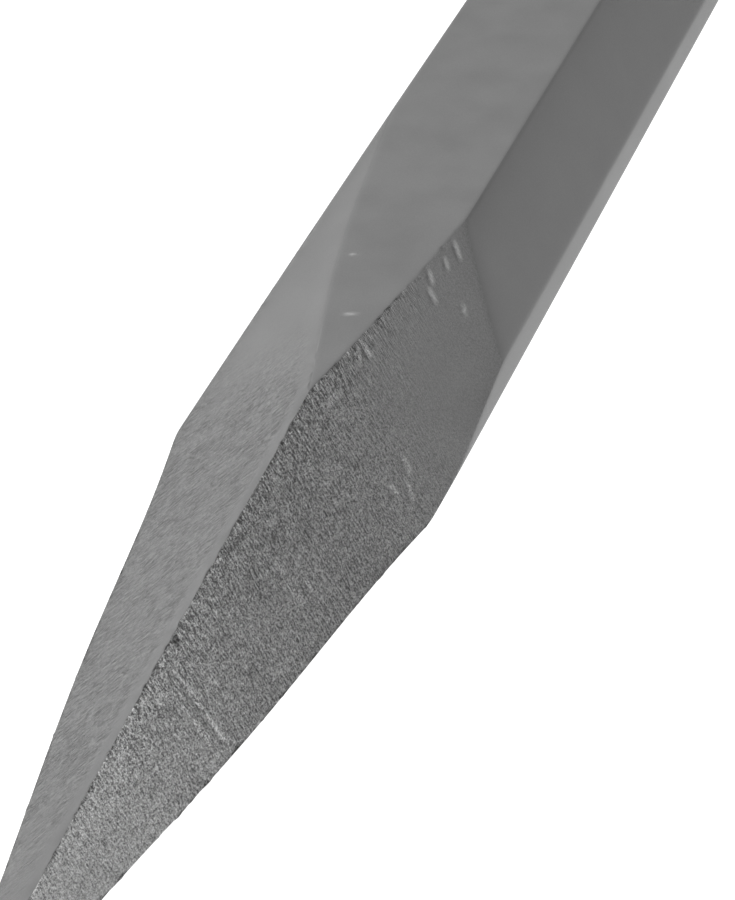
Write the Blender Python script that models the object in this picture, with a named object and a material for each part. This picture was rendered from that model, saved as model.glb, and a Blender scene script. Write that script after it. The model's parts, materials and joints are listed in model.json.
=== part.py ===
"""Hand-struck masonry point chisel: a hexagonal bar with a four-faced point, and a push-on hand guard.

Units are metres and +Z is up. Each piece is modelled along the tool's own axis: X is the distance
from the apex that the four ground faces aim at, towards the struck head, and +Z is the normal of
the bar's top flat. The pieces hang on two empties, one for the bar and one for the guard, which
slides along the bar. The tool's own empty lays it down as it lies on a bench, on the shoulder of
its point and on one flat of the hand shield.
"""

import math

import bmesh
import bpy
import numpy as np
from mathutils import Matrix, Vector

GAP = 0.0003                       # left between pieces that touch

# Bar
FLATS = 0.018                      # hexagonal bar, across flats
PARTING_FLAT = 0.0024              # flat trimmed along the two corners on the forging's parting line
BLUNT_AT = 0.007                   # where the worn end of the point cuts the four faces off
HEAD_AT = 0.307                    # struck face
HEAD_CHAMFER = 0.014               # length of the taper behind the struck face
HEAD_RADIUS = 0.0072               # of the struck face
HEAD_EDGE = 0.0008                 # broken edge around the struck face
POINT_TURN = math.radians(56.5)    # of the ground faces about the axis, from the top flat
# Distance of each ground face from the axis, at stations one bar width apart: a straight taper,
# a slight hollow left by the grinding wheel, and a shallower run-out over the flats.
GRIND_STEP = FLATS
GRIND_DEPTHS = (0.0, 0.00223, 0.00442, 0.00618, 0.00858, 0.01015, 0.01180)
GRIND_RINGS = 36
STOP_AT = 0.1575                   # raised nibs that the guard comes to rest on
STOP_SIZE = (0.0042, 0.0060, 0.0013)

# Guard
CORE_AT = (0.167, 0.281)
CORE_RADIUS = 0.0140
CORE_BORE = 0.0192                 # hexagonal bore of the rigid core, across flats
FLANGE_AT = (0.2610, 0.2650)
FLANGE_RADIUS = 0.0240
GROMMET_LENGTH = 0.0060
GROMMET_RADIUS = 0.0120
COLLAR_RADIUS = 0.0170
COLLAR_BORE = 0.0112
COLLAR_LIP = 0.0060                # thickness of a collar's end wall
COLLAR_SKIRT = 0.0080              # how far a collar's skirt runs back over the core
GRIP_RADIUS = 0.0166
GRIP_RIBS = 8
GRIP_RIB_HEIGHT = 0.0013
GRIP_RIB_WIDTH = 0.0046
SHIELD_FLAT = 0.0300               # from the axis to each of the shield's six flats
SHIELD_CORNER = 0.0140             # radius between the flats
BORE_CORNER = 0.0005               # radius in the corners of the hexagonal bores

ARC_STEPS = 6                      # segments in each sixth of a round or hexagonal outline

STEEL = (0.205, 0.205, 0.205)
CORE_BLACK = (0.030, 0.030, 0.031)
SOFT_BLACK = (0.022, 0.022, 0.023)
SHIELD_GREY = (0.085, 0.087, 0.090)
RUBBER_BLACK = (0.012, 0.012, 0.012)


def clear_scene():
    for obj in list(bpy.data.objects):
        bpy.data.objects.remove(obj, do_unlink=True)


def material(name, color, roughness, metallic=0.0):
    made = bpy.data.materials.new(name)
    made.use_nodes = True
    shader = made.node_tree.nodes["Principled BSDF"]
    shader.inputs["Base Color"].default_value = (*color, 1.0)
    shader.inputs["Roughness"].default_value = roughness
    shader.inputs["Metallic"].default_value = metallic
    return made


def add_object(name, bm, parent, finish=None):
    """Turns the bmesh into an object under the parent, smooth except at its real edges."""
    bmesh.ops.recalc_face_normals(bm, faces=bm.faces)
    mesh = bpy.data.meshes.new(name)
    bm.to_mesh(mesh)
    bm.free()
    mesh.shade_smooth()
    mesh.set_sharp_from_angle(angle=math.radians(32))
    obj = bpy.data.objects.new(name, mesh)
    bpy.context.scene.collection.objects.link(obj)
    obj.parent = parent
    if finish:
        mesh.materials.append(finish)
    return obj


def add_empty(name, parent=None):
    empty = bpy.data.objects.new(name, None)
    bpy.context.scene.collection.objects.link(empty)
    empty.parent = parent
    return empty


def apply_shape(obj, operation, tool):
    """Combines obj with a helper object that stays out of the build."""
    tool.hide_render = True
    tool.display_type = "WIRE"
    boolean = obj.modifiers.new(tool.name, "BOOLEAN")
    boolean.operation = operation
    boolean.object = tool


def across(angle, distance):
    """(y, z) at this distance from the axis, with the angle counted from +Z towards -Y."""
    return -distance * math.sin(angle), distance * math.cos(angle)


def outline(flat, corner):
    """A hexagon with its flats this far from the axis and this corner radius; equal values, a circle."""
    points = []
    centre = (flat - corner) / math.cos(math.radians(30))
    for side in range(6):
        middle = math.radians(60 * side + 30)
        y, z = across(middle, centre)
        for step in range(ARC_STEPS):
            turn = middle + math.radians(60) * (step / (ARC_STEPS - 1) - 0.5)
            dy, dz = across(turn, corner)
            points.append((y + dy, z + dz))
    return points


def ring_piece(name, section, parent, finish):
    """A piece around the axis: section is its closed cross-section, as (station, flat, corner)."""
    bm = bmesh.new()
    rings = [[bm.verts.new((x, y, z)) for y, z in outline(flat, corner)] for x, flat, corner in section]
    for ring, after in zip(rings, rings[1:] + rings[:1]):
        for i, vertex in enumerate(ring):
            j = (i + 1) % len(ring)
            bm.faces.new((vertex, ring[j], after[j], after[i]))
    return add_object(name, bm, parent, finish)


def round_ring(station, radius):
    return station, radius, radius


def prism(name, corners, start, end, parent, finish=None):
    """A bar of this (y, z) outline between two stations."""
    bm = bmesh.new()
    face = bm.faces.new([bm.verts.new((start, y, z)) for y, z in corners])
    grown = bmesh.ops.extrude_face_region(bm, geom=[face])["geom"]
    moved = [item for item in grown if isinstance(item, bmesh.types.BMVert)]
    bmesh.ops.translate(bm, vec=Vector((end - start, 0, 0)), verts=moved)
    return add_object(name, bm, parent, finish)


def bar_outline():
    """The hexagon, with the corners that point along -Y and +Y trimmed flat."""
    reach = FLATS / math.sqrt(3)
    trim = PARTING_FLAT / 2
    inset = trim / math.tan(math.radians(60))
    points = []
    for side in range(6):
        angle = math.radians(60 * side + 30)
        y, z = across(angle, reach)
        if side in (1, 4):
            kept = math.copysign(abs(y) - inset, y)
            points += [(kept, -math.copysign(trim, y)), (kept, math.copysign(trim, y))]
        else:
            points.append((y, z))
    return points


def grind_depth(stations):
    """Natural cubic spline through the grind's depths."""
    count = len(GRIND_DEPTHS)
    knots = GRIND_STEP * np.arange(count)
    depths = np.array(GRIND_DEPTHS)
    system = np.eye(count)
    bends = np.zeros(count)
    for i in range(1, count - 1):
        system[i, i - 1:i + 2] = (1, 4, 1)
        bends[i] = 6 * (depths[i - 1] - 2 * depths[i] + depths[i + 1]) / GRIND_STEP**2
    bends = np.linalg.solve(system, bends)
    found = []
    for x in stations:
        i = min(int(x / GRIND_STEP), count - 2)
        a = (knots[i + 1] - x) / GRIND_STEP
        b = 1 - a
        curve = (a**3 - a) * bends[i] + (b**3 - b) * bends[i + 1]
        found.append(a * depths[i] + b * depths[i + 1] + curve * GRIND_STEP**2 / 6)
    return found


def add_grind_envelope(parent):
    """The four ground faces, as a square that grows from the blunt end until it clears the bar."""
    stations = list(np.linspace(BLUNT_AT, GRIND_STEP * (len(GRIND_DEPTHS) - 1), GRIND_RINGS))
    depths = grind_depth(stations) + [FLATS]
    stations.append(HEAD_AT + FLATS)
    bm = bmesh.new()
    rings = []
    for x, depth in zip(stations, depths):
        corners = [across(POINT_TURN + math.radians(90 * k + 45), depth * math.sqrt(2)) for k in range(4)]
        rings.append([bm.verts.new((x, y, z)) for y, z in corners])
    for ring, after in zip(rings, rings[1:]):
        for i in range(4):
            j = (i + 1) % 4
            bm.faces.new((ring[i], ring[j], after[j], after[i]))
    bm.faces.new(rings[0])
    bm.faces.new(rings[-1])
    return add_object("grind_envelope", bm, parent)


def add_head_envelope(parent):
    """A turned shape that tapers the bar to the struck face and breaks its edge."""
    outside = FLATS
    slope = (FLATS / math.sqrt(3) - HEAD_RADIUS) / HEAD_CHAMFER
    start = HEAD_AT - HEAD_EDGE - (outside - HEAD_RADIUS) / slope
    profile = ((0.0, 0.0), (0.0, outside), (start, outside), (HEAD_AT - HEAD_EDGE, HEAD_RADIUS),
               (HEAD_AT, HEAD_RADIUS - HEAD_EDGE), (HEAD_AT, 0.0))
    bm = bmesh.new()
    points = [bm.verts.new((x, 0, radius)) for x, radius in profile]
    edges = [bm.edges.new(pair) for pair in zip(points, points[1:])]
    bmesh.ops.spin(bm, geom=points + edges, cent=(0, 0, 0), axis=(1, 0, 0), angle=math.tau,
                   steps=48, use_duplicate=False)
    bmesh.ops.remove_doubles(bm, verts=bm.verts, dist=1e-6)
    return add_object("head_envelope", bm, parent)


def add_stop_nib(name, side, parent):
    """A nib swaged up from the top or the bottom flat, with sloping ends."""
    length, width, height = STOP_SIZE
    root = side * (FLATS / 2 - height)
    bm = bmesh.new()
    bmesh.ops.create_cube(bm, size=1)
    for vertex in bm.verts:
        top = vertex.co.z > 0
        shrink = 0.55 if top else 1.0
        vertex.co = Vector((STOP_AT + vertex.co.x * length * shrink, vertex.co.y * width * shrink,
                            root + side * (2 * height if top else 0)))
    return add_object(name, bm, parent)


def add_bar(parent):
    steel = material("blasted_steel", STEEL, 0.55, 0.35)
    bar = prism("chisel_bar", bar_outline(), BLUNT_AT - GAP, HEAD_AT, parent, steel)
    apply_shape(bar, "INTERSECT", add_grind_envelope(parent))
    apply_shape(bar, "INTERSECT", add_head_envelope(parent))
    for name, side in (("stop_nib_top", 1), ("stop_nib_bottom", -1)):
        apply_shape(bar, "UNION", add_stop_nib(name, side, parent))
    return bar


def add_core(parent):
    """Rigid tube with a flange inside the shield and a seat for a grommet at each end."""
    start, end = CORE_AT
    seat = GROMMET_RADIUS + GAP
    seat_depth = GROMMET_LENGTH + GAP
    bore = CORE_BORE / 2
    section = [
        round_ring(start, seat), round_ring(start + seat_depth, seat),
        (start + seat_depth, bore, BORE_CORNER), (end - seat_depth, bore, BORE_CORNER),
        round_ring(end - seat_depth, seat), round_ring(end, seat),
        round_ring(end, CORE_RADIUS), round_ring(FLANGE_AT[1], CORE_RADIUS),
        round_ring(FLANGE_AT[1], FLANGE_RADIUS), round_ring(FLANGE_AT[0], FLANGE_RADIUS),
        round_ring(FLANGE_AT[0], CORE_RADIUS), round_ring(start, CORE_RADIUS),
    ]
    return ring_piece("guard_core", section, parent, material("core_plastic", CORE_BLACK, 0.45))


def add_grommet(name, start, parent, rubber):
    """Rubber ring that grips the bar and keeps the rigid core off the steel."""
    end = start + GROMMET_LENGTH
    bore = FLATS / 2 + GAP
    section = [(start, bore, BORE_CORNER), (end, bore, BORE_CORNER),
               round_ring(end, GROMMET_RADIUS), round_ring(start, GROMMET_RADIUS)]
    return ring_piece(name, section, parent, rubber)


def add_collar(name, core_end, outward, parent, plastic):
    """Snap ring over one end of the core: an end wall that holds the grommet, and a skirt."""
    face = core_end + outward * (GAP + COLLAR_LIP)
    lip = core_end + outward * GAP
    skirt = core_end - outward * COLLAR_SKIRT
    edge = 0.0009
    inside = CORE_RADIUS + GAP
    section = [
        round_ring(face, COLLAR_BORE), round_ring(lip, COLLAR_BORE),
        round_ring(lip, inside), round_ring(skirt, inside), round_ring(skirt, COLLAR_RADIUS),
        round_ring(face - outward * 2.6 * edge, COLLAR_RADIUS),
        round_ring(face - outward * edge, COLLAR_RADIUS - edge),
        round_ring(face, COLLAR_RADIUS - 2.6 * edge),
    ]
    return ring_piece(name, section, parent, plastic)


def add_grip(parent):
    """Soft sleeve with raised rings for the fingers, flared where it meets the shield."""
    start = CORE_AT[0] + COLLAR_SKIRT + GAP
    end = FLANGE_AT[0] - 0.0080
    inside = CORE_RADIUS + GAP
    section = [round_ring(end, inside), round_ring(start, inside), round_ring(start, GRIP_RADIUS)]
    pitch = (end - start - 0.012) / GRIP_RIBS
    for rib in range(GRIP_RIBS):
        middle = start + pitch * (rib + 0.5)
        for offset, rise in ((-0.5, 0.0), (-0.28, 0.8), (0.0, 1.0), (0.28, 0.8), (0.5, 0.0)):
            radius = GRIP_RADIUS + rise * GRIP_RIB_HEIGHT
            section.append(round_ring(middle + offset * GRIP_RIB_WIDTH, radius))
    for back, rise in ((0.006, 0.0002), (0.0025, 0.0008), (0.0, 0.0021)):
        section.append(round_ring(end - back, GRIP_RADIUS + rise))
    return ring_piece("grip_sleeve", section, parent, material("grip_elastomer", SOFT_BLACK, 0.75))


def add_shield(parent):
    """Mushroom-shaped shield moulded over the flange, hexagonal so that the tool doesn't roll."""
    low, high = FLANGE_AT
    inside = CORE_RADIUS + GAP
    flange = FLANGE_RADIUS + GAP
    roundness = SHIELD_CORNER / SHIELD_FLAT
    neck = low - 0.0080 + GAP
    top = CORE_AT[1] - COLLAR_SKIRT - GAP

    def rim(station, flat, blend=roundness):
        return station, flat, flat * blend

    section = [
        round_ring(neck, inside), round_ring(low - GAP, inside), round_ring(low - GAP, flange),
        round_ring(high + GAP, flange), round_ring(high + GAP, inside), round_ring(top, inside),
        round_ring(top, COLLAR_RADIUS - 0.0008), rim(top - 0.0006, 0.0190, 0.92),
        rim(top - 0.0021, 0.0232, 0.72), rim(top - 0.0044, 0.0270, 0.56), rim(high - 0.0004, 0.0293),
        rim(high - 0.0022, SHIELD_FLAT), rim(high - 0.0042, 0.0298), rim(low - 0.0016, 0.0287),
        rim(low - 0.0026, 0.0268, 0.52), rim(low - 0.0032, 0.0238, 0.62), rim(low - 0.0041, 0.0212, 0.80),
        rim(low - 0.0058, 0.0196, 0.95), round_ring(neck, 0.0187),
    ]
    return ring_piece("hand_shield", section, parent, material("shield_elastomer", SHIELD_GREY, 0.70))


def add_guard(parent):
    rubber = material("grommet_rubber", RUBBER_BLACK, 0.85)
    plastic = material("collar_plastic", CORE_BLACK, 0.40)
    start, end = CORE_AT
    return [
        add_core(parent),
        add_grommet("lower_grommet", start + GAP / 2, parent, rubber),
        add_grommet("upper_grommet", end - GROMMET_LENGTH - GAP / 2, parent, rubber),
        add_collar("lower_collar", start, -1, parent, plastic),
        add_collar("upper_collar", end, 1, parent, plastic),
        add_grip(parent),
        add_shield(parent),
    ]


def corners_of(objects):
    """World points of every vertex, with the modifiers applied."""
    graph = bpy.context.evaluated_depsgraph_get()
    for obj in objects:
        evaluated = obj.evaluated_get(graph)
        for vertex in evaluated.data.vertices:
            yield evaluated.matrix_world @ vertex.co


def lay_down(tool, bar, shield):
    """Turns the tool until its point and the shield's lower flat touch one plane, and puts the
    middle of its box's underside at the origin."""
    bpy.context.view_layer.update()
    rim = min(corners_of([shield]), key=lambda p: p.z)
    ahead = [p for p in corners_of([bar]) if p.x < GRIND_STEP * len(GRIND_DEPTHS)]
    slope = math.atan(min((p.z - rim.z) / (rim.x - p.x) for p in ahead))
    tool.matrix_world = Matrix.Rotation(-slope, 4, "Y")
    bpy.context.view_layer.update()
    points = list(corners_of([bar, shield]))
    low = Vector([min(p[axis] for p in points) for axis in range(3)])
    high = Vector([max(p[axis] for p in points) for axis in range(3)])
    middle = (low + high) / 2
    tool.location = (-middle.x, -middle.y, -low.z)
    bpy.context.view_layer.update()


def main():
    clear_scene()
    tool = add_empty("tool_axis")
    bar = add_bar(add_empty("bar_body", tool))
    guard = add_guard(add_empty("guard_body", tool))
    lay_down(tool, bar, guard[-1])


main()
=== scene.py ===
"""Looks of a masonry point chisel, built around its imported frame.

Shapes are made in the tool's own axes: X is the distance from the apex of the four ground faces
towards the struck head, +Z is the normal of the bar's top flat. TOOL takes them to the frame.
Angles about the axis count from +Z towards -Y. Lengths are in metres.
"""

import json
import math
import random

import bpy
import numpy as np
from mathutils import Matrix, Quaternion, Vector, noise


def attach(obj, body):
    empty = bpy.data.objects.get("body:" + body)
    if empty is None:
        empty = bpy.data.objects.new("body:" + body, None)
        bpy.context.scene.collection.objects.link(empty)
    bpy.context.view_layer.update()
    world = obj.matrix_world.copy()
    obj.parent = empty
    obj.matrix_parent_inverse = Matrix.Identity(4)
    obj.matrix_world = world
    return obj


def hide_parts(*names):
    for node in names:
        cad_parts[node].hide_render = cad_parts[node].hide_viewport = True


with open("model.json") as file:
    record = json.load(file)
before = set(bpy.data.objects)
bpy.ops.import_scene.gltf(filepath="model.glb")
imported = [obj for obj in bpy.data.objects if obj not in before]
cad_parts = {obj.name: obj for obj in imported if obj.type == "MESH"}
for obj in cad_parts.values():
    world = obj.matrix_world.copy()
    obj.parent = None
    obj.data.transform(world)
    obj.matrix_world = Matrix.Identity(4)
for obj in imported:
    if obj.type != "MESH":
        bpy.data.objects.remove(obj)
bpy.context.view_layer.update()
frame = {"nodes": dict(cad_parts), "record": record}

MM = 0.001

# Bar
FLATS = 18 * MM
PARTING_FLAT = 2.4 * MM
BLUNT_AT = 7 * MM
HEAD_AT = 307 * MM
HEAD_CHAMFER = 14 * MM
HEAD_RADIUS = 7.2 * MM
HEAD_EDGE = 0.8 * MM
STEEL_GREYS = (0.255, 0.28)
STEEL_ROUGHNESS = (0.5, 0.6)
POINT_TURN = 56.5    # degrees from the top flat to the first ground face
GRIND_STEP = FLATS
# Distance of the ground faces from the axis at every step from the apex, fitted to the photo and rounded
GRIND_DEPTHS = np.array((0.0, 2.23, 4.42, 6.18, 8.58, 10.15, 11.80)) * MM
STOP_AT = 157.5 * MM
STRUCK = (HEAD_AT - 3 * MM, HEAD_AT - 0.5 * MM)
NIB_RISE = 1.45 * MM
TROUGH_DEPTH = 0.15 * MM
RIDGE_WANDER = 0.17 * MM
RIDGE_BURR = 0.75 * MM


def tool_matrix():
    """The tool's axes, from the struck face's mount."""
    face = next(m for m in frame["record"]["mounts"] if m["name"] == "striking_face")
    axis = Vector(face["axis"]).normalized()
    side = Vector((0, 1, 0))
    up = axis.cross(side)
    matrix = Matrix((axis, side, up)).transposed().to_4x4()
    matrix.translation = Vector(face["pos_m"]) - axis * HEAD_AT
    return matrix


TOOL = tool_matrix()


# ---------------------------------------------------------------- nodes

class Nodes:
    """Short calls for building a material's node tree."""

    def __init__(self, name):
        self.material = bpy.data.materials.new(name)
        self.material.use_nodes = True
        self.tree = self.material.node_tree
        self.shader = self.tree.nodes["Principled BSDF"]

    def node(self, kind, inputs=(), **settings):
        made = self.tree.nodes.new("ShaderNode" + kind)
        for key, value in settings.items():
            setattr(made, key, value)
        for key, value in dict(inputs).items():
            self.put(made.inputs[key], value)
        return made

    def put(self, socket, value):
        if isinstance(value, bpy.types.NodeSocket):
            self.tree.links.new(value, socket)
        else:
            socket.default_value = value

    def math(self, operation, *values, clamp=False):
        made = self.tree.nodes.new("ShaderNodeMath")
        made.operation = operation
        made.use_clamp = clamp
        for socket, value in zip(made.inputs, values):
            self.put(socket, value)
        return made.outputs[0]

    def scaled(self, vector, scale):
        return self.node("VectorMath", {0: vector, 1: scale}, operation="MULTIPLY").outputs[0]

    def noise(self, vector, scale, detail=2.0, rough=0.5):
        made = self.node("TexNoise", {"Vector": vector, "Scale": scale, "Detail": detail, "Roughness": rough})
        return made.outputs["Fac"]

    def ramp(self, value, low, high, out_low=0.0, out_high=1.0):
        made = self.node("MapRange", {"Value": value, "From Min": low, "From Max": high,
                                      "To Min": out_low, "To Max": out_high})
        made.clamp = True
        return made.outputs["Result"]

    def grey(self, value):
        made = self.node("CombineColor", {"Red": value, "Green": value, "Blue": value})
        return made.outputs["Color"]

    def bump(self, height, distance, normal=None):
        inputs = {"Height": height, "Distance": distance, "Strength": 1.0}
        if normal is not None:
            inputs["Normal"] = normal
        return self.node("Bump", inputs).outputs["Normal"]

    def finish(self, color, roughness, normal):
        self.put(self.shader.inputs["Base Color"], color)
        self.put(self.shader.inputs["Roughness"], roughness)
        self.put(self.shader.inputs["Normal"], normal)
        return self.material


# ---------------------------------------------------------------- bar

SIDE_ANGLES = np.array([0, POINT_TURN, 60, 90, 120, POINT_TURN + 90,
                        180, POINT_TURN + 180, 240, 270, 300, POINT_TURN + 270])
# Sides by angle: ground more finely, with painted shade along an edge, with a nib, and with stray dents
FINE_SIDES = (POINT_TURN + 90, POINT_TURN + 270)
CORNER_SIDES = (60, 240)
NIB_SIDES = (0, 180)
STRAY_SIDES = (120, POINT_TURN + 90, 180, POINT_TURN + 180, 240, 300)
SIDE_KINDS = ["flat", "ground", "flat", "parting", "flat", "ground",
              "flat", "ground", "flat", "parting", "flat", "ground"]
SIDE_COLUMNS = {"flat": 20, "parting": 8, "ground": 56}
EDGE_GRADING = 1.5
GONE = 0.02 * MM
EDGE_SOFTNESS = 0.06 * MM
BLUNT_RADIUS = 1.0 * MM
FACE_RINGS = 9
FACE_STEP = 0.001 * MM
ROUNDING_PASSES = 14
WELD = 0.001 * MM
# Dents, scratches and a pit: side, station, distance across, length, width, turn in degrees, depth. In mm.
# They follow marks seen in the photo. Most places came from a scratch fit and were rounded or moved.
NICKS = [
    (POINT_TURN, 76.4, -3.9, 1.5, 0.42, -24, 0.10),
    (POINT_TURN, 74.6, -4.0, 1.0, 0.4, -30, 0.09),
    (POINT_TURN, 72.4, -4.4, 1.1, 0.42, -35, 0.09),
    (POINT_TURN, 71.4, -3.4, 1.3, 0.42, -14, 0.10),
    (POINT_TURN, 73.3, -0.8, 0.8, 0.4, -45, 0.07),
    (POINT_TURN, 63.0, -4.8, 1.3, 0.44, -10, 0.10),
    (POINT_TURN, 62.0, -5.3, 0.8, 0.42, -25, 0.09),
    (POINT_TURN, 59.6, 2.6, 1.4, 0.46, -20, 0.12),
    (POINT_TURN, 58.4, 4.0, 1.3, 0.46, -30, 0.12),
    (POINT_TURN, 57.2, 3.0, 1.0, 0.44, -5, 0.10),
    (POINT_TURN, 32.3, 0.9, 5.6, 0.34, -4, 0.09),
    (POINT_TURN, 31.2, 0.6, 3.6, 0.26, -4, 0.05),
    (POINT_TURN, 46.0, 1.2, 2.6, 0.3, -8, 0.04),
    (POINT_TURN, 44.6, 0.4, 3.2, 0.3, -8, 0.03),
    (POINT_TURN, 34.4, -3.8, 0.5, 0.6, 0, 0.30),
    (0, 72.7, -1.1, 0.5, 0.3, 0, 0.03),
    (0, 65.7, 1.4, 0.9, 0.3, 20, 0.03),
]
STRAY_SEED = 11
STRAY_COUNT = 70
# A nick's groove and the lip beside it: height, painted highlight and painted shadow as shares, offset in
# half widths of the nick
LIP_HEIGHT = 0.7
LIP_OFFSET = 1.3
LIP_PAINTED_HIGHLIGHT = 0.9
GROOVE_PAINTED_SHADOW = 3.0
NICK_PAINTED_LIGHT_LIMIT = 0.8
NORMALS = np.stack([-np.sin(np.radians(SIDE_ANGLES)), np.cos(np.radians(SIDE_ANGLES))], axis=1)
TANGENTS = np.stack([-np.cos(np.radians(SIDE_ANGLES)), -np.sin(np.radians(SIDE_ANGLES))], axis=1)


def grind_depth(stations):
    """Natural cubic spline through the grind's depths, carried straight on past its ends."""
    count = len(GRIND_DEPTHS)
    system = np.eye(count)
    bends = np.zeros(count)
    for i in range(1, count - 1):
        system[i, i - 1:i + 2] = (1, 4, 1)
        bends[i] = 6 * (GRIND_DEPTHS[i - 1] - 2 * GRIND_DEPTHS[i] + GRIND_DEPTHS[i + 1]) / GRIND_STEP**2
    bends = np.linalg.solve(system, bends)
    i = np.clip((stations / GRIND_STEP).astype(int), 0, count - 2)
    b = stations / GRIND_STEP - i
    a = 1 - b
    curve = (a**3 - a) * bends[i] + (b**3 - b) * bends[i + 1]
    inside = a * GRIND_DEPTHS[i] + b * GRIND_DEPTHS[i + 1] + curve * GRIND_STEP**2 / 6
    return np.where(stations > GRIND_STEP * (count - 1), FLATS, inside)


def side_distances(stations):
    """Distance of every side's plane from the axis, at every station."""
    reach = FLATS / math.sqrt(3)
    parting = reach - PARTING_FLAT / 2 * math.tan(math.radians(30))
    ground = grind_depth(stations)
    columns = {"flat": np.full(len(stations), FLATS / 2), "parting": np.full(len(stations), parting),
               "ground": ground}
    return np.stack([columns[kind] for kind in SIDE_KINDS], axis=1)


def side_ends(distances):
    """Both ends of every side of the cross-section, as points. A side that the others hide shrinks to the
    corner that took its place."""
    rows, count = distances.shape
    low = np.full((rows, count), -1.0)
    high = np.full((rows, count), 1.0)
    for i in range(count):
        for j in range(count):
            slant = float(NORMALS[j] @ TANGENTS[i])
            if abs(slant) < 1e-9:
                continue
            meet = (distances[:, j] - distances[:, i] * float(NORMALS[j] @ NORMALS[i])) / slant
            if slant > 0:
                high[:, i] = np.minimum(high[:, i], meet)
            else:
                low[:, i] = np.maximum(low[:, i], meet)
    base = distances[:, :, None] * NORMALS
    starts = base + low[:, :, None] * TANGENTS
    ends = base + high[:, :, None] * TANGENTS
    gone = high - low < GONE
    for i in range(count):
        support = np.where(gone, -1.0, starts @ NORMALS[i])
        best = starts[np.arange(rows), support.argmax(axis=1)]
        starts[gone[:, i], i] = best[gone[:, i]]
        ends[gone[:, i], i] = best[gone[:, i]]
    return starts, ends


def column_layout():
    """Side of each column around the ring, and its share of the way along that side, closer set near its
    ends."""
    sides, shares = [], []
    for i, kind in enumerate(SIDE_KINDS):
        count = SIDE_COLUMNS[kind]
        even = np.arange(count) / count
        share = 0.5 + 0.5 * np.tanh(EDGE_GRADING * (2 * even - 1)) / math.tanh(EDGE_GRADING)
        sides += [i] * count
        shares += list(share)
    return np.array(sides), np.array(shares)


def bar_stations():
    """Where the mesh has its rings, closer set at the tip, scratches, nicks, nibs and head."""
    spans = [(BLUNT_AT + 0.05 * MM, 8 * MM, 0.16 * MM), (8 * MM, 29 * MM, 0.36 * MM),
             (29 * MM, 36 * MM, 0.14 * MM), (36 * MM, 54 * MM, 0.36 * MM), (54 * MM, 78 * MM, 0.22 * MM),
             (78 * MM, 112 * MM, 0.85 * MM), (112 * MM, STOP_AT - 4 * MM, 2 * MM),
             (STOP_AT - 4 * MM, STOP_AT + 4 * MM, 0.28 * MM), (STOP_AT + 4 * MM, 289 * MM, 4 * MM),
             (289 * MM, HEAD_AT, 0.5 * MM)]
    stations = []
    for start, end, step in spans:
        stations += list(np.arange(start, end - step / 2, step))
    return np.array(stations + [HEAD_AT])


def rounded(points, stations, distances, softness):
    """Draws the ring's points in to a surface that rounds every corner by about this much."""
    slope = (FLATS / math.sqrt(3) - HEAD_RADIUS) / HEAD_CHAMFER
    limit = HEAD_RADIUS + slope * (HEAD_AT - HEAD_EDGE - stations)
    limit = np.minimum(limit, HEAD_RADIUS - HEAD_EDGE + (HEAD_AT - stations))[:, None]
    for _ in range(ROUNDING_PASSES):
        radius = np.linalg.norm(points, axis=2)
        over = np.einsum("rcp,sp->rcs", points, NORMALS) - distances[:, None, :]
        over = np.concatenate([over, (radius - limit)[:, :, None]], axis=2) / softness[:, :, None]
        top = over.max(axis=2, keepdims=True)
        weight = np.exp(over - top)
        total = weight.sum(axis=2)
        outside = softness * (top[:, :, 0] + np.log(total))
        weight /= total[:, :, None]
        unit = points / radius[:, :, None]
        along = np.einsum("rcs,sp,rcp->rc", weight[:, :, :-1], NORMALS, unit) + weight[:, :, -1]
        points = points - unit * (outside / along)[:, :, None]
    return points


def field(points, size, seed):
    """Smooth noise between -1 and 1 at these (N, 2 or 3) points, with features of about this size."""
    scaled = np.zeros((len(points), 3))
    scaled[:, :points.shape[1]] = points / size
    scaled += seed * 17.31
    return np.array([noise.noise(Vector(p)) for p in scaled])


def bar_grid():
    """Stations, the side of every column, the ends of every side, and the ring points at every station."""
    stations = bar_stations()
    distances = side_distances(stations)
    starts, ends = side_ends(distances)
    sides, shares = column_layout()
    points = starts[:, sides] + (ends[:, sides] - starts[:, sides]) * shares[None, :, None]
    points = rounded(points, stations, distances, np.full(points.shape[:2], EDGE_SOFTNESS))
    blunt = np.clip((stations - BLUNT_AT) / BLUNT_RADIUS, 0, 1)
    points *= np.sqrt(1 - (1 - blunt) ** 2)[:, None, None]
    face = np.linspace(0.9, 0.1, FACE_RINGS)
    points = np.concatenate([points, points[-1] * face[:, None, None]])
    stations = np.append(stations, HEAD_AT + FACE_STEP * np.arange(1, FACE_RINGS + 1))
    starts = np.concatenate([starts, np.repeat(starts[-1:], FACE_RINGS, axis=0)])
    ends = np.concatenate([ends, np.repeat(ends[-1:], FACE_RINGS, axis=0)])
    return stations, sides, starts, ends, points


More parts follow.
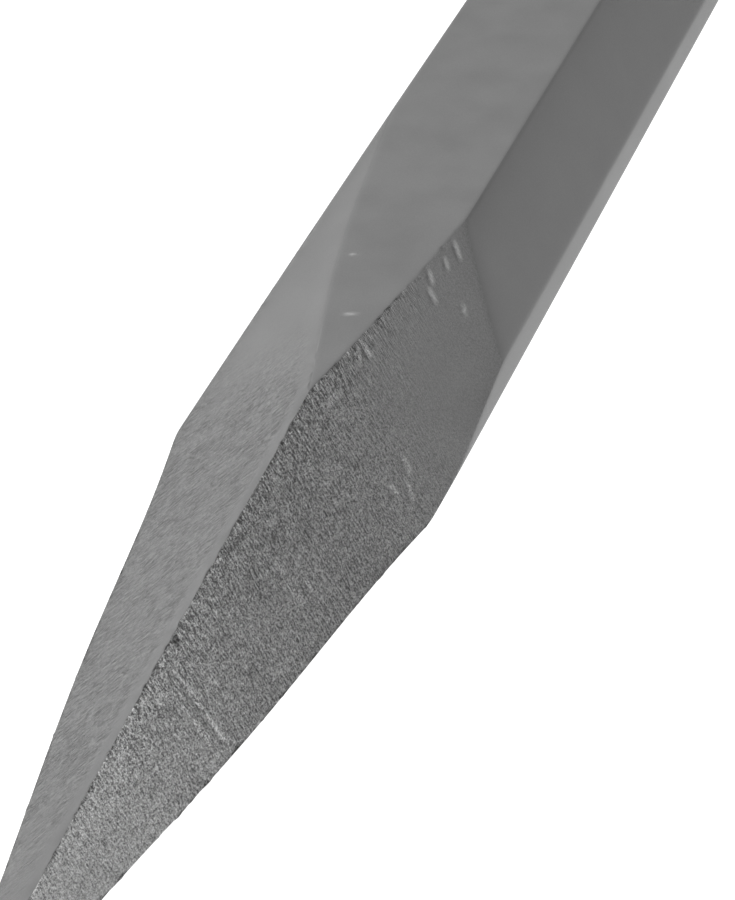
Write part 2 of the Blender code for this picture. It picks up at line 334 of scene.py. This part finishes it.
class Bar:
    """The steel bar's mesh: vertices, and faces whose corners know their side and their place on it."""

    def __init__(self):
        stations, sides, starts, ends, points = bar_grid()
        rows, columns = points.shape[:2]
        along = np.broadcast_to(stations[:, None, None], (rows, columns, 1))
        places = np.concatenate([along, points], axis=2)
        cells = np.round(places.reshape(-1, 3) / WELD)
        _, first, index = np.unique(cells, axis=0, return_index=True, return_inverse=True)
        index = index.reshape(rows, columns)
        self.vertices = places.reshape(-1, 3)[first]
        self.vertex_side = np.tile(sides, rows)[first]
        self.low = np.einsum("rsp,sp->rs", starts, TANGENTS)
        self.high = np.einsum("rsp,sp->rs", ends, TANGENTS)
        self.stations = stations
        self.faces = []
        corner_side, corner_vertex = [], []
        for r in range(rows - 1):
            for c in range(columns):
                d = (c + 1) % columns
                quad = (index[r, c], index[r, d], index[r + 1, d], index[r + 1, c])
                kept = [quad[k] for k in range(4) if quad[k] != quad[k - 1]]
                if len(set(kept)) < 3 or len(kept) != len(set(kept)):
                    continue
                self.faces.append(kept)
                corner_side += [sides[c]] * len(kept)
                corner_vertex += kept
        for r in (0, rows - 1):
            ring = [v for k, v in enumerate(index[r]) if v != index[r, k - 1]]
            self.faces.append(ring[::-1] if r == 0 else ring)
            corner_side += [-1] * len(ring)
            corner_vertex += self.faces[-1]
        self.corner_side = np.array(corner_side)
        self.corner_vertex = np.array(corner_vertex)

    def place_on(self, side, vertex):
        """(x, s, to_low, to_high): station, distance across the side from its middle line, and distance in
        from the side's two edges."""
        x = self.vertices[vertex, 0]
        s = np.einsum("np,np->n", self.vertices[vertex, 1:], TANGENTS[side])
        low = np.empty(len(x))
        high = np.empty(len(x))
        for k in range(len(SIDE_ANGLES)):
            here = side == k
            low[here] = np.interp(x[here], self.stations, self.low[:, k])
            high[here] = np.interp(x[here], self.stations, self.high[:, k])
        return x, s, s - low, high - s


def smooth(value, start, end):
    """0 before start, 1 after end, smooth between."""
    t = np.clip((value - start) / (end - start), 0, 1)
    return t * t * (3 - 2 * t)


def is_kind(side, kind):
    return np.array([k == kind for k in SIDE_KINDS])[side] & (side >= 0)


def stray_nicks():
    """Small dents from use, spread over the bar's lower and back sides and closer set towards the point."""
    draw = random.Random(STRAY_SEED)
    nicks = []
    for _ in range(STRAY_COUNT):
        where = draw.choice(STRAY_SIDES)
        station = 14 + 136 * draw.random() ** 1.6
        across = draw.uniform(-4.5, 4.5)
        nicks.append((where, station, across, draw.uniform(0.5, 1.6), draw.uniform(0.2, 0.35),
                      draw.uniform(-60, 60), draw.uniform(0.02, 0.05)))
    return nicks


def nick_height(side, x, s):
    """Dents and scratches, as heights and as painted light: a groove with painted shadow in it, and metal
    thrown up along one side with a painted highlight on it. A pit, as wide as it is long, has no such lip."""
    height = np.zeros(len(x))
    nick_painted_light = np.zeros(len(x))
    for where, station, across, length, width, turn, depth in NICKS + stray_nicks():
        here = (SIDE_ANGLES[side] == where)
        turned = math.radians(turn)
        dx, ds = x - station * MM, s - across * MM
        a = (ds * math.cos(turned) + dx * math.sin(turned)) / (length * MM / 2)
        b = (dx * math.cos(turned) - ds * math.sin(turned)) / (width * MM / 2)
        groove = np.exp(-a**4 - b**2)
        lip = np.exp(-a**4 - (b - LIP_OFFSET) ** 2) if length > width else 0.0
        height += here * depth * MM * (LIP_HEIGHT * lip - groove)
        # Painted highlight on the lip, painted shadow in the groove
        nick_painted_light += here * (LIP_PAINTED_HIGHLIGHT * lip - GROOVE_PAINTED_SHADOW * depth * groove)
    return height, np.clip(nick_painted_light, -NICK_PAINTED_LIGHT_LIMIT, NICK_PAINTED_LIGHT_LIMIT)


def bar_relief(bar):
    """Height of grinding, burrs, nicks and the bruised head, to add along each vertex's normal."""
    side = bar.vertex_side
    x, s, to_low, to_high = bar.place_on(side, np.arange(len(side)))
    runout = smooth(x, 60 * MM, 66 * MM) * smooth(to_high, 2.0 * MM, 0.2 * MM)
    ground = is_kind(side, "ground") * smooth(x, 88 * MM, 70 * MM) * (1 - runout)
    edge = np.minimum(to_low, to_high)
    plane = np.stack([x, s + side * 40 * MM], axis=1)
    wave = field(plane, 8 * MM, 1) * 0.05 * MM
    furrow = field(plane * (1, 0.12), 0.9 * MM, 2) * 0.018 * MM
    burr = field(plane * (1, 0.6), 0.7 * MM, 3) * 0.12 * MM + field(plane, 2.2 * MM, 4) * 0.07 * MM
    near = np.exp(-np.clip(edge, 0, None) / (0.5 * MM))
    nicks, _ = nick_height(side, x, s)
    struck = smooth(x, *STRUCK)
    bruises = (field(bar.vertices, 2.6 * MM, 5) * 0.30 + field(bar.vertices, 1.0 * MM, 7) * 0.12 - 0.22) * MM
    return ground * (wave + furrow + burr * near - 0.04 * MM) + nicks + struck * bruises


def ridge_shift(bar):
    """Sideways wander of the ridges between ground faces, which shows as a burred edge."""
    side = bar.vertex_side
    x, _, to_low, to_high = bar.place_on(side, np.arange(len(side)))
    ground = is_kind(side, "ground")
    shift = np.zeros((len(side), 3))
    for turn, edge in ((-45, to_low), (45, to_high)):
        ridge = np.radians(SIDE_ANGLES[side] + turn)
        reach = smooth(x, 64 * MM, 58 * MM) if turn > 0 else smooth(x, 80 * MM, 74 * MM)
        size = ground * reach * np.exp(-(np.clip(edge, 0, None) / (0.4 * MM)) ** 2)
        wander = field(np.stack([x, np.sin(ridge) * 0.1], axis=1), RIDGE_BURR, 6)
        amount = size * wander * RIDGE_WANDER
        shift[:, 1] -= amount * np.cos(ridge)
        shift[:, 2] -= amount * np.sin(ridge)
    return shift


def nib_height(bar):
    """The two stop nibs, swaged up from the top and bottom flats."""
    side = bar.vertex_side
    x, s, _, _ = bar.place_on(side, np.arange(len(side)))
    on_flat = np.isin(SIDE_ANGLES[side], NIB_SIDES)
    shape = smooth(np.abs(x - STOP_AT), 2.1 * MM, 1.1 * MM) * smooth(np.abs(s), 3.0 * MM, 1.7 * MM)
    trough = smooth(np.abs(x - STOP_AT), 3.4 * MM, 2.4 * MM) * smooth(np.abs(s), 3.6 * MM, 2.8 * MM)
    return on_flat * (NIB_RISE * shape - TROUGH_DEPTH * trough)


# Where the steel's looks come in, painted light and shade among them: (none, full) stations in mm
# from the apex
COARSE_STROKES = (76, 58)
FINE_STROKES = (68, 56)
OUTER_GRIND = (68, 52)
STROKES_OFF_TIP = (14, 40)
FINE_OFF_TIP = (6, 26)
PITS_OFF_TIP = (14, 30)
PITS_OFF_SHANK = (92, 76)
SHANK_PITS = (120, 150)
FINE_TIP_DARK = (34, 14)
MIDDLE_LIGHT = (66, 56)
TIP_LIGHT = (52, 22)
LOW_BORDER = (50, 62)
RIDGE_BORDER = (62, 56)
CORNER_DARKER = (94, 84)
RUNOUT_BORDER = (64, 70)
DARK_CORNER = (82, 76)
# Strength of strokes, of pits, and of changes of tone (painted light and shade among them), as shares
OUTER_STROKES = 0.42
TIP_STROKES = 0.35
CALM = 0.34
CALM_PITS = 0.4
LEAST_PITS = 0.12
PITS_OFF_RIDGE = 0.6
TIP_PITS = 0.55
SHANK_PITTED = 0.22
HEAD_PITTED = 0.25
GROUND_TONE = 0.95
RIDGE_PAINTED_LIGHT = 0.32
OUTER_PAINTED_LIGHT = 0.25
TIP_PAINTED_LIGHT = 0.62
FINE_TIP_DARKER = 0.10
STRUCK_BRIGHT = 0.4
# Bands of painted shade along edges: (share, reach in mm)
LOW_PAINTED_SHADE = (0.14, 1.5)
RIDGE_PAINTED_SHADE = (0.12, 1.0)
CORNER_PAINTED_SHADE = (0.16, 1.9)
RUNOUT_PAINTED_SHADE = (0.22, 1.3)
LINE_PAINTED_SHADOW = (0.25, 0.15)
RIDGE_REACH = 2.2
# Turn of the grinding marks in degrees, their finer scale, and the step that keeps the sides' marks apart
FINE_TURN = 35.0
COARSE_TURN = -8.0
FINE_SCALE = 1.5
SIDE_APART = 7.0


def between(x, stations):
    """0 at the first of two stations given in mm, 1 at the second."""
    return smooth(x, stations[0] * MM, stations[1] * MM)


def by_edge(distance, reach):
    """1 at an edge, fading over about this many mm from it."""
    return np.exp(-distance / (reach * MM))


def shade(distance, band):
    """How dark a band of painted shade along an edge is at this distance from it."""
    return band[0] * by_edge(distance, band[1])


def least(low, share):
    """From low, where share is 0, up to 1."""
    return low + (1 - low) * share


def grinding(x, ground, fine, ridge):
    """Strength of the long strokes and of the pits, and two tones of painted light on the coarse faces,
    lighter beside the ridge and towards the point. The two fine faces are ground more smoothly."""
    begun = np.where(fine, between(x, FINE_STROKES), between(x, COARSE_STROKES))
    outer = between(x, OUTER_GRIND)
    by_ridge = by_edge(ridge, RIDGE_REACH)
    rough = begun * by_ridge + OUTER_STROKES * outer * (1 - by_ridge)
    rough *= least(TIP_STROKES, between(x, STROKES_OFF_TIP))
    calm = CALM * begun * smooth(ridge, 0.5 * MM, 1.6 * MM) * between(x, FINE_OFF_TIP)
    strokes = ground * np.where(fine, calm, rough)
    coarse_pits = least(LEAST_PITS, outer * least(PITS_OFF_RIDGE, by_ridge))
    pits = ground * np.where(fine, CALM_PITS * calm, coarse_pits)
    pits = pits * between(x, PITS_OFF_SHANK) * least(TIP_PITS, between(x, PITS_OFF_TIP))
    pits += SHANK_PITTED * between(x, SHANK_PITS)
    pits += HEAD_PITTED * smooth(x, HEAD_AT - HEAD_CHAMFER, HEAD_AT - 6 * MM)
    return strokes, pits, RIDGE_PAINTED_LIGHT * begun * by_ridge, OUTER_PAINTED_LIGHT * outer


def paint(bar, mesh):
    """Corner attributes that the steel's material reads: the place along and across the grinding marks, and
    the strength of strokes, of pits and of tone. The tone carries painted shade along edges, painted light
    towards the point and painted highlights and shadows at the nicks."""
    side, vertex = bar.corner_side, bar.corner_vertex
    x, s, to_low, to_high = bar.place_on(side, vertex)
    to_low, to_high = np.maximum(to_low, 0), np.maximum(to_high, 0)
    ground = is_kind(side, "ground")
    fine = np.isin(SIDE_ANGLES[side], FINE_SIDES)
    turn = np.radians(np.where(fine, FINE_TURN, COARSE_TURN))
    along = s * np.cos(turn) + x * np.sin(turn)
    across = x * np.cos(turn) - s * np.sin(turn)
    scale = np.where(fine, FINE_SCALE, 1.0)
    grain = np.stack([along / MM, across / MM, side * SIDE_APART], axis=1) * scale[:, None]
    ridge = np.where(fine, to_high, to_low)
    strokes, pits, ridge_painted_light, outer_painted_light = grinding(x, ground, fine, ridge)

    fine_tip = 1 - FINE_TIP_DARKER * between(x, FINE_TIP_DARK)
    # Painted light on the coarse ground faces: lighter beside the ridge, in the middle and towards the point
    coarse_tip = 1 + outer_painted_light * between(x, MIDDLE_LIGHT) + TIP_PAINTED_LIGHT * between(x, TIP_LIGHT)
    of_ground = np.where(fine, GROUND_TONE * fine_tip, (GROUND_TONE + ridge_painted_light) * coarse_tip)
    # Painted shade along both edges of the fine ground faces
    low_painted_shade = shade(to_low, LOW_PAINTED_SHADE) * between(x, LOW_BORDER)
    ridge_painted_shade = shade(to_high, RIDGE_PAINTED_SHADE) * between(x, RIDGE_BORDER)
    tone = np.where(ground, of_ground * np.where(fine, 1 - low_painted_shade - ridge_painted_shade, 1), 1.0)
    corner = np.isin(SIDE_ANGLES[side], CORNER_SIDES) & (x < HEAD_AT - HEAD_CHAMFER)
    # Painted shade on the dark facets along one edge, darker nearer the point
    corner_painted_shade = corner * (1 + 0.5 * between(x, CORNER_DARKER)) * shade(to_low, CORNER_PAINTED_SHADE)
    # Painted shade on the coarse ground faces beside the run-out
    beside = (ground & ~fine) * shade(to_high, RUNOUT_PAINTED_SHADE) * between(x, RUNOUT_BORDER)
    # A thin painted shadow along one edge of the top flat
    top_edge_painted_shadow = (SIDE_ANGLES[side] == 0) * shade(to_high, LINE_PAINTED_SHADOW) * between(x, DARK_CORNER)
    # Painted highlights on the nicks' lips and painted shadows in their grooves
    _, nick_painted_light = nick_height(side, x, s)
    bright = STRUCK_BRIGHT * smooth(x, *STRUCK)
    tone = tone * (1 - corner_painted_shade - beside - top_edge_painted_shadow + bright) + nick_painted_light
    wear_and_painted_light = np.stack([strokes, pits, tone], axis=1)
    for name, values in (("grain", grain), ("wear_and_painted_light", wear_and_painted_light)):
        layer = mesh.attributes.new(name, "FLOAT_VECTOR", "CORNER")
        layer.data.foreach_set("vector", values.astype(np.float32).ravel())


def steel_material():
    """Blasted, ground tool steel: strokes, pits and grain, as bump and as changes of grey, with the painted
    light and shade carried in the tone.
    """
    n = Nodes("blasted_steel")
    grain = n.node("Attribute", attribute_name="grain").outputs["Vector"]
    wear_and_painted_light = n.node("SeparateXYZ", {0: n.node("Attribute", attribute_name="wear_and_painted_light").outputs["Vector"]}).outputs
    strokes, pitted, tone = wear_and_painted_light
    place = n.node("TexCoord").outputs["Object"]
    patch = n.noise(place, 260, 2.0, 0.5)
    gather = n.ramp(n.noise(place, 800, 2.0, 0.6), 0.35, 0.65, 0.6, 1.3)
    lines = n.ramp(n.noise(n.scaled(grain, (1.3, 6.3, 1.0)), 1.0, 2.0, 0.6), 0.34, 0.66, -0.5, 0.5)
    pits = n.ramp(n.noise(place, 5000, 2.0, 0.65), 0.34, 0.66, -0.5, 0.5)
    dust = n.ramp(n.noise(place, 9500, 1.0, 0.5), 0.34, 0.66, -0.5, 0.5)
    skin = n.noise(place, 1600, 3.0, 0.6)
    lines = n.math("MULTIPLY", n.math("MULTIPLY", lines, strokes), gather)
    pits = n.math("MULTIPLY", pits, pitted)
    dust = n.math("MULTIPLY", dust, n.math("MULTIPLY_ADD", pitted, 1.3, 0.06))
    normal = n.bump(lines, 0.26 * MM)
    normal = n.bump(pits, 0.12 * MM, normal)
    normal = n.bump(skin, 0.006 * MM, normal)
    specks = n.math("MULTIPLY_ADD", pits, 1.3, n.math("ADD", dust, 1.0))
    marks = n.math("MULTIPLY_ADD", lines, 1.9, specks)
    marks = n.math("MAXIMUM", marks, 0.35)
    # The tone brings the painted light and shade into the grey
    color = n.math("MULTIPLY", n.ramp(patch, 0.3, 0.7, *STEEL_GREYS), n.math("MULTIPLY", marks, tone))
    roughness = n.ramp(patch, 0.3, 0.7, *STEEL_ROUGHNESS)
    return n.finish(n.grey(color), roughness, normal)


def add_bar():
    bar = Bar()
    mesh = bpy.data.meshes.new("steel_bar")
    mesh.from_pydata(bar.vertices.tolist(), [], bar.faces)
    mesh.update()
    paint(bar, mesh)
    normals = np.empty(len(mesh.vertices) * 3)
    mesh.vertex_normals.foreach_get("vector", normals)
    height = bar_relief(bar) + nib_height(bar)
    moved = bar.vertices + normals.reshape(-1, 3) * height[:, None] + ridge_shift(bar)
    mesh.vertices.foreach_set("co", moved.ravel())
    mesh.update()
    mesh.shade_smooth()
    mesh.materials.append(steel_material())
    obj = bpy.data.objects.new("steel_bar", mesh)
    bpy.context.scene.collection.objects.link(obj)
    mesh.transform(TOOL)
    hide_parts("chisel_bar")
    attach(obj, "bar")


add_bar()


# ---------------------------------------------------------------- guard

GAP = 0.3 * MM
LIP = 6 * MM
RIM_BLEND = 0.4667    # corner radius of the shield, as a share of its distance from the axis
SOFT_RIBS = 8
ARC_COLUMNS = 14
FLAT_COLUMNS = 10


def span(node):
    """(start, end, inner radius, outer radius) of a node around the tool's axis."""
    obj = frame["nodes"][node]
    into = TOOL.inverted() @ obj.matrix_world
    places = np.array([into @ v.co for v in obj.data.vertices])
    radius = np.hypot(places[:, 1], places[:, 2])
    return places[:, 0].min(), places[:, 0].max(), radius.min(), radius.max()


def hexagon(flat, corner):
    """Points around a hexagon with its flats this far from the axis and this corner radius."""
    centre = (flat - corner) / math.cos(math.radians(30))
    points = []
    for side in range(6):
        middle = math.radians(60 * side + 30)
        turns = middle + np.radians(np.linspace(-30, 30, ARC_COLUMNS))
        arc = np.stack([-centre * math.sin(middle) - corner * np.sin(turns),
                        centre * math.cos(middle) + corner * np.cos(turns)], axis=1)
        points.append(arc)
    around = []
    for arc, after in zip(points, points[1:] + points[:1]):
        shares = np.linspace(0, 1, FLAT_COLUMNS + 2)[1:-1, None]
        around += [arc, arc[-1] + (after[0] - arc[-1]) * shares]
    return np.concatenate(around)


def even_loop(section, step, rounding):
    """The closed section, with points about this far apart and its corners rounded."""
    points = []
    for here, after in zip(section, section[1:] + section[:1]):
        length = math.hypot(after[0] - here[0], after[1] - here[1])
        count = max(1, round(length / step))
        points += [np.array(here) + (np.array(after) - here) * k / count for k in range(count)]
    loop = np.array(points)
    for _ in range(rounding):
        loop = (np.roll(loop, 1, axis=0) + 2 * loop + np.roll(loop, -1, axis=0)) / 4
    return loop


def ring_piece(name, node, section, relief, material, step=0.5 * MM, rounding=2):
    """A detailed piece around the axis in place of a node. Its section is closed, as (station, flat, corner);
    relief(x, radius, angle) is the height added to its surface."""
    loop = even_loop(section, step, rounding)
    rings = np.stack([hexagon(flat, corner) for _, flat, corner in loop])
    rows, columns = rings.shape[:2]
    along = np.broadcast_to(loop[:, 0, None, None], (rows, columns, 1))
    places = np.concatenate([along, rings], axis=2).reshape(-1, 3)
    index = np.arange(rows * columns).reshape(rows, columns)
    beside = np.roll(index, -1, axis=1)
    faces = np.stack([index, beside, np.roll(beside, -1, axis=0), np.roll(index, -1, axis=0)], axis=2)
    mesh = bpy.data.meshes.new(name)
    mesh.from_pydata(places.tolist(), [], faces.reshape(-1, 4).tolist())
    mesh.update()
    normals = np.empty(places.size)
    mesh.vertex_normals.foreach_get("vector", normals)
    normals = normals.reshape(-1, 3)
    middle = rings.reshape(rows, columns, 2).mean(axis=(0, 1))
    outward = places[:, 1:] - middle
    outermost = np.hypot(places[:, 1], places[:, 2]).argmax()
    if normals[outermost, 1:] @ outward[outermost] < 0:
        mesh.flip_normals()
        normals = -normals
    radius = np.hypot(places[:, 1], places[:, 2])
    angle = np.arctan2(-places[:, 1], places[:, 2])
    outside = np.einsum("np,np->n", normals[:, 1:], places[:, 1:]) / radius
    height = relief(places[:, 0], radius, angle, outside)
    mesh.vertices.foreach_set("co", (places + normals * height[:, None]).ravel())
    mesh.update()
    mesh.shade_smooth()
    mesh.set_sharp_from_angle(angle=math.radians(40))
    mesh.materials.append(material)
    mesh.transform(TOOL)
    obj = bpy.data.objects.new(name, mesh)
    bpy.context.scene.collection.objects.link(obj)
    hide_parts(node)
    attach(obj, "guard")


def round_ring(station, radius):
    """A section's point whose ring is a circle."""
    return station, radius, radius


def seam(angle, radius):
    """Height of the mould's parting line, down both sides of the piece."""
    off = np.abs(np.cos(angle)) * radius
    return 0.10 * MM * np.exp(-(off / (0.22 * MM)) ** 2)


def flutes(angle, count, width):
    """1 in the middle of each of this many grooves around the axis, 0 between them."""
    turn = np.abs((angle * count / (2 * math.pi)) % 1 - 0.5)
    return smooth(turn, width, width * 0.35)


def polymer(name, color, roughness, grain, depth, dusty):
    """Moulded plastic or rubber: spark-eroded grain, faint mottling, and dust caught in the grain."""
    n = Nodes(name)
    place = n.node("TexCoord").outputs["Object"]
    texture = n.noise(place, grain, 2.0, 0.6)
    mottle = n.noise(place, 140, 3.0, 0.6)
    dust = n.ramp(n.noise(place, 420, 4.0, 0.7), 0.52, 0.72, 0.0, dusty)
    normal = n.bump(texture, depth)
    normal = n.bump(n.noise(place, 300, 2.0, 0.5), 0.02 * MM, normal)
    tint = n.math("MULTIPLY", n.ramp(mottle, 0.3, 0.7, 0.85, 1.15), n.ramp(texture, 0.35, 0.65, 0.85, 1.1))
    shade = n.math("ADD", n.math("MULTIPLY", tint, color), dust)
    return n.finish(n.grey(shade), n.ramp(mottle, 0.3, 0.7, roughness - 0.06, roughness + 0.06), normal)


def add_collar(node, outward, material):
    """A snap collar with grooves around it. outward is 1 where its open face looks towards the head."""
    start, end, bore, outer = span(node)
    face, skirt = (end, start) if outward > 0 else (start, end)
    inside = outer - 2.7 * MM
    lip = face - outward * LIP
    edge = 0.9 * MM
    section = [round_ring(face, bore), round_ring(lip, bore), round_ring(lip, inside),
               round_ring(skirt, inside), round_ring(skirt, outer),
               round_ring(face - outward * 2.6 * edge, outer),
               round_ring(face - outward * edge, outer - edge),
               round_ring(face - outward * 0.2 * edge, outer - 1.9 * edge),
               round_ring(face, outer - 2.6 * edge)]

    def relief(x, radius, angle, outside):
        depth = (x - face) * -outward
        band = smooth(depth, 2.2 * MM, 3.2 * MM) * smooth(depth, 12.6 * MM, 11.6 * MM) * (outside > 0.5)
        return -0.5 * MM * band * flutes(angle, 24, 0.34)

    ring_piece(node + "_fluted", node, section, relief, material, 0.4 * MM)


def add_grip(material):
    """The soft sleeve, with a ring for each finger gap and a flare up to the shield."""
    start, end, inside, widest = span("grip_sleeve")
    base = widest - 2.1 * MM
    pitch = (end - start - 12 * MM) / SOFT_RIBS
    section = [round_ring(end, inside), round_ring(start, inside), round_ring(start, base)]
    for rib in range(SOFT_RIBS):
        middle = start + pitch * (rib + 0.5)
        for turn in np.linspace(-0.5, 0.5, 9):
            rise = math.cos(math.pi * turn) ** 0.7 if abs(turn) < 0.5 else 0.0
            section.append(round_ring(middle + turn * 4.6 * MM, base + 1.3 * MM * rise))
    for back, rise in ((6, 0.1), (4.4, 0.4), (2.5, 0.8), (1.1, 1.45), (0, 2.1)):
        section.append(round_ring(end - back * MM, base + rise * MM))

    def relief(x, radius, angle, outside):
        on_ribs = smooth(radius, base + 0.45 * MM, base + 1.0 * MM) * (x < end - 7 * MM) * (outside > 0.3)
        on_skin = (radius > base - 0.5 * MM) * (outside > 0.3)
        return on_skin * seam(angle, radius) - 0.55 * MM * on_ribs * flutes(angle, 18, 0.16)

    ring_piece("grip_ribbed", "grip_sleeve", section, relief, material, 0.5 * MM, 1)


def add_shield(material):
    """The soft hexagonal shield around the core's flange, with rays on its upper face."""
    neck, top, inside, _ = span("hand_shield")
    low, high = neck + 7.7 * MM, neck + 11.7 * MM
    flange = 24.3 * MM
    flat = 30 * MM
    collar = span("upper_collar")[3]

    def rim(station, distance, blend=RIM_BLEND):
        return station, distance, distance * blend

    section = [
        round_ring(neck, inside), round_ring(low - GAP, inside), round_ring(low - GAP, flange),
        round_ring(high + GAP, flange), round_ring(high + GAP, inside), round_ring(top, inside),
        round_ring(top, collar - 0.8 * MM), rim(top - 0.6 * MM, 19.0 * MM, 0.92),
        rim(top - 2.1 * MM, 23.2 * MM, 0.72), rim(top - 4.4 * MM, 27.0 * MM, 0.56),
        rim(high - 0.4 * MM, 29.3 * MM), rim(high - 2.2 * MM, flat), rim(high - 4.2 * MM, 29.8 * MM),
        rim(low - 1.6 * MM, 28.7 * MM), rim(low - 2.6 * MM, 26.8 * MM, 0.52),
        rim(low - 3.2 * MM, 23.8 * MM, 0.62), rim(low - 4.1 * MM, 21.2 * MM, 0.80),
        rim(low - 5.8 * MM, 19.6 * MM, 0.95), round_ring(neck, 18.7 * MM)]

    def relief(x, radius, angle, outside):
        above = (x > high - 1.0 * MM) * smooth(radius, 18.5 * MM, 19.5 * MM)
        above = above * smooth(radius, 28.8 * MM, 27.6 * MM)
        rays = -0.45 * MM * above * flutes(angle, 30, 0.3)
        edge = (radius > 28 * MM) * (outside > 0.6)
        return rays + edge * 0.09 * MM * np.exp(-((x - (low + high) / 2) / (0.25 * MM)) ** 2)

    ring_piece("shield_rayed", "hand_shield", section, relief, material, 0.45 * MM, 3)


def add_guard():
    collar = polymer("collar_plastic", 0.030, 0.42, 2200, 0.03 * MM, 0.008)
    add_collar("lower_collar", -1, collar)
    add_collar("upper_collar", 1, collar)
    add_grip(polymer("grip_elastomer", 0.024, 0.72, 1500, 0.06 * MM, 0.02))
    add_shield(polymer("shield_elastomer", 0.085, 0.66, 1700, 0.04 * MM, 0.03))
    carried = {"guard_core": polymer("core_plastic", 0.030, 0.5, 2600, 0.015 * MM, 0.004)}
    rubber = polymer("grommet_rubber", 0.014, 0.8, 1500, 0.03 * MM, 0.006)
    carried.update(lower_grommet=rubber, upper_grommet=rubber)
    for node, material in carried.items():
        for place in frame["nodes"][node].material_slots:
            place.material = material


add_guard()


# ---------------------------------------------------------------- stage

CAMERA_AT = Vector((-92.25, -67.89, 126.62)) * MM
CAMERA_AIM = Vector((70.45, 0, -6.39)) * MM
CAMERA_ROLL = math.radians(1.39)
CAMERA_LENS = 120.6
LIT_AT = 60 * MM
KEY_TOWARD = (-0.5, 0.42, 0.76)
KEY_DISTANCE = 1.2
KEY_SIZE = 0.4
KEY_BRIGHTNESS = 0.85
WORLD_LIGHT = 0.15
WORLD_SEEN = 1.2
FLOOR_SIZE = 60
FLOOR_GREY = 0.25
FLOOR_GLOW = 1.15


def add_camera():
    camera = bpy.data.cameras.new("camera")
    camera.lens = CAMERA_LENS
    camera.sensor_width = 36
    camera.clip_start = 0.01
    obj = bpy.data.objects.new("camera", camera)
    bpy.context.scene.collection.objects.link(obj)
    obj.location = TOOL @ CAMERA_AT
    look = (TOOL @ CAMERA_AIM - obj.location).to_track_quat("-Z", "Y")
    obj.rotation_mode = "QUATERNION"
    obj.rotation_quaternion = look @ Quaternion((0, 0, 1), -CAMERA_ROLL)
    bpy.context.scene.camera = obj


def add_area(name, toward, distance, size, brightness):
    """A square light that shines on the point from this direction, about this bright on a white card
    there."""
    light = bpy.data.lights.new(name, "AREA")
    light.size = size
    light.energy = brightness * math.pi**2 * distance**2
    obj = bpy.data.objects.new(name, light)
    bpy.context.scene.collection.objects.link(obj)
    toward = Vector(toward).normalized()
    obj.location = TOOL @ Vector((LIT_AT, 0, 0)) + toward * distance
    obj.rotation_euler = toward.to_track_quat("Z", "Y").to_euler()


def add_stage():
    """A pale floor that glows, a world that is white to the camera and dim to the object, and the key
    light."""
    world = bpy.data.worlds.new("world")
    bpy.context.scene.world = world
    world.use_nodes = True
    background = world.node_tree.nodes["Background"]
    background.inputs["Color"].default_value = (1, 1, 1, 1)
    ray = world.node_tree.nodes.new("ShaderNodeLightPath")
    strength = world.node_tree.nodes.new("ShaderNodeMapRange")
    strength.inputs["To Min"].default_value = WORLD_LIGHT
    strength.inputs["To Max"].default_value = WORLD_SEEN
    world.node_tree.links.new(ray.outputs["Is Camera Ray"], strength.inputs["Value"])
    world.node_tree.links.new(strength.outputs["Result"], background.inputs["Strength"])
    bpy.ops.mesh.primitive_plane_add(size=FLOOR_SIZE)
    floor = bpy.context.object
    floor.name = "floor"
    paper = Nodes("paper")
    grain = paper.noise(paper.node("TexCoord").outputs["Object"], 900)
    paper.finish((FLOOR_GREY, FLOOR_GREY, FLOOR_GREY, 1), 0.8, paper.bump(grain, 0.01 * MM))
    paper.shader.inputs["Emission Color"].default_value = (1, 1, 1, 1)
    paper.shader.inputs["Emission Strength"].default_value = FLOOR_GLOW
    floor.data.materials.append(paper.material)
    add_area("key", KEY_TOWARD, KEY_DISTANCE, KEY_SIZE, KEY_BRIGHTNESS)
    bpy.context.scene.view_settings.view_transform = "Standard"


add_camera()
add_stage()
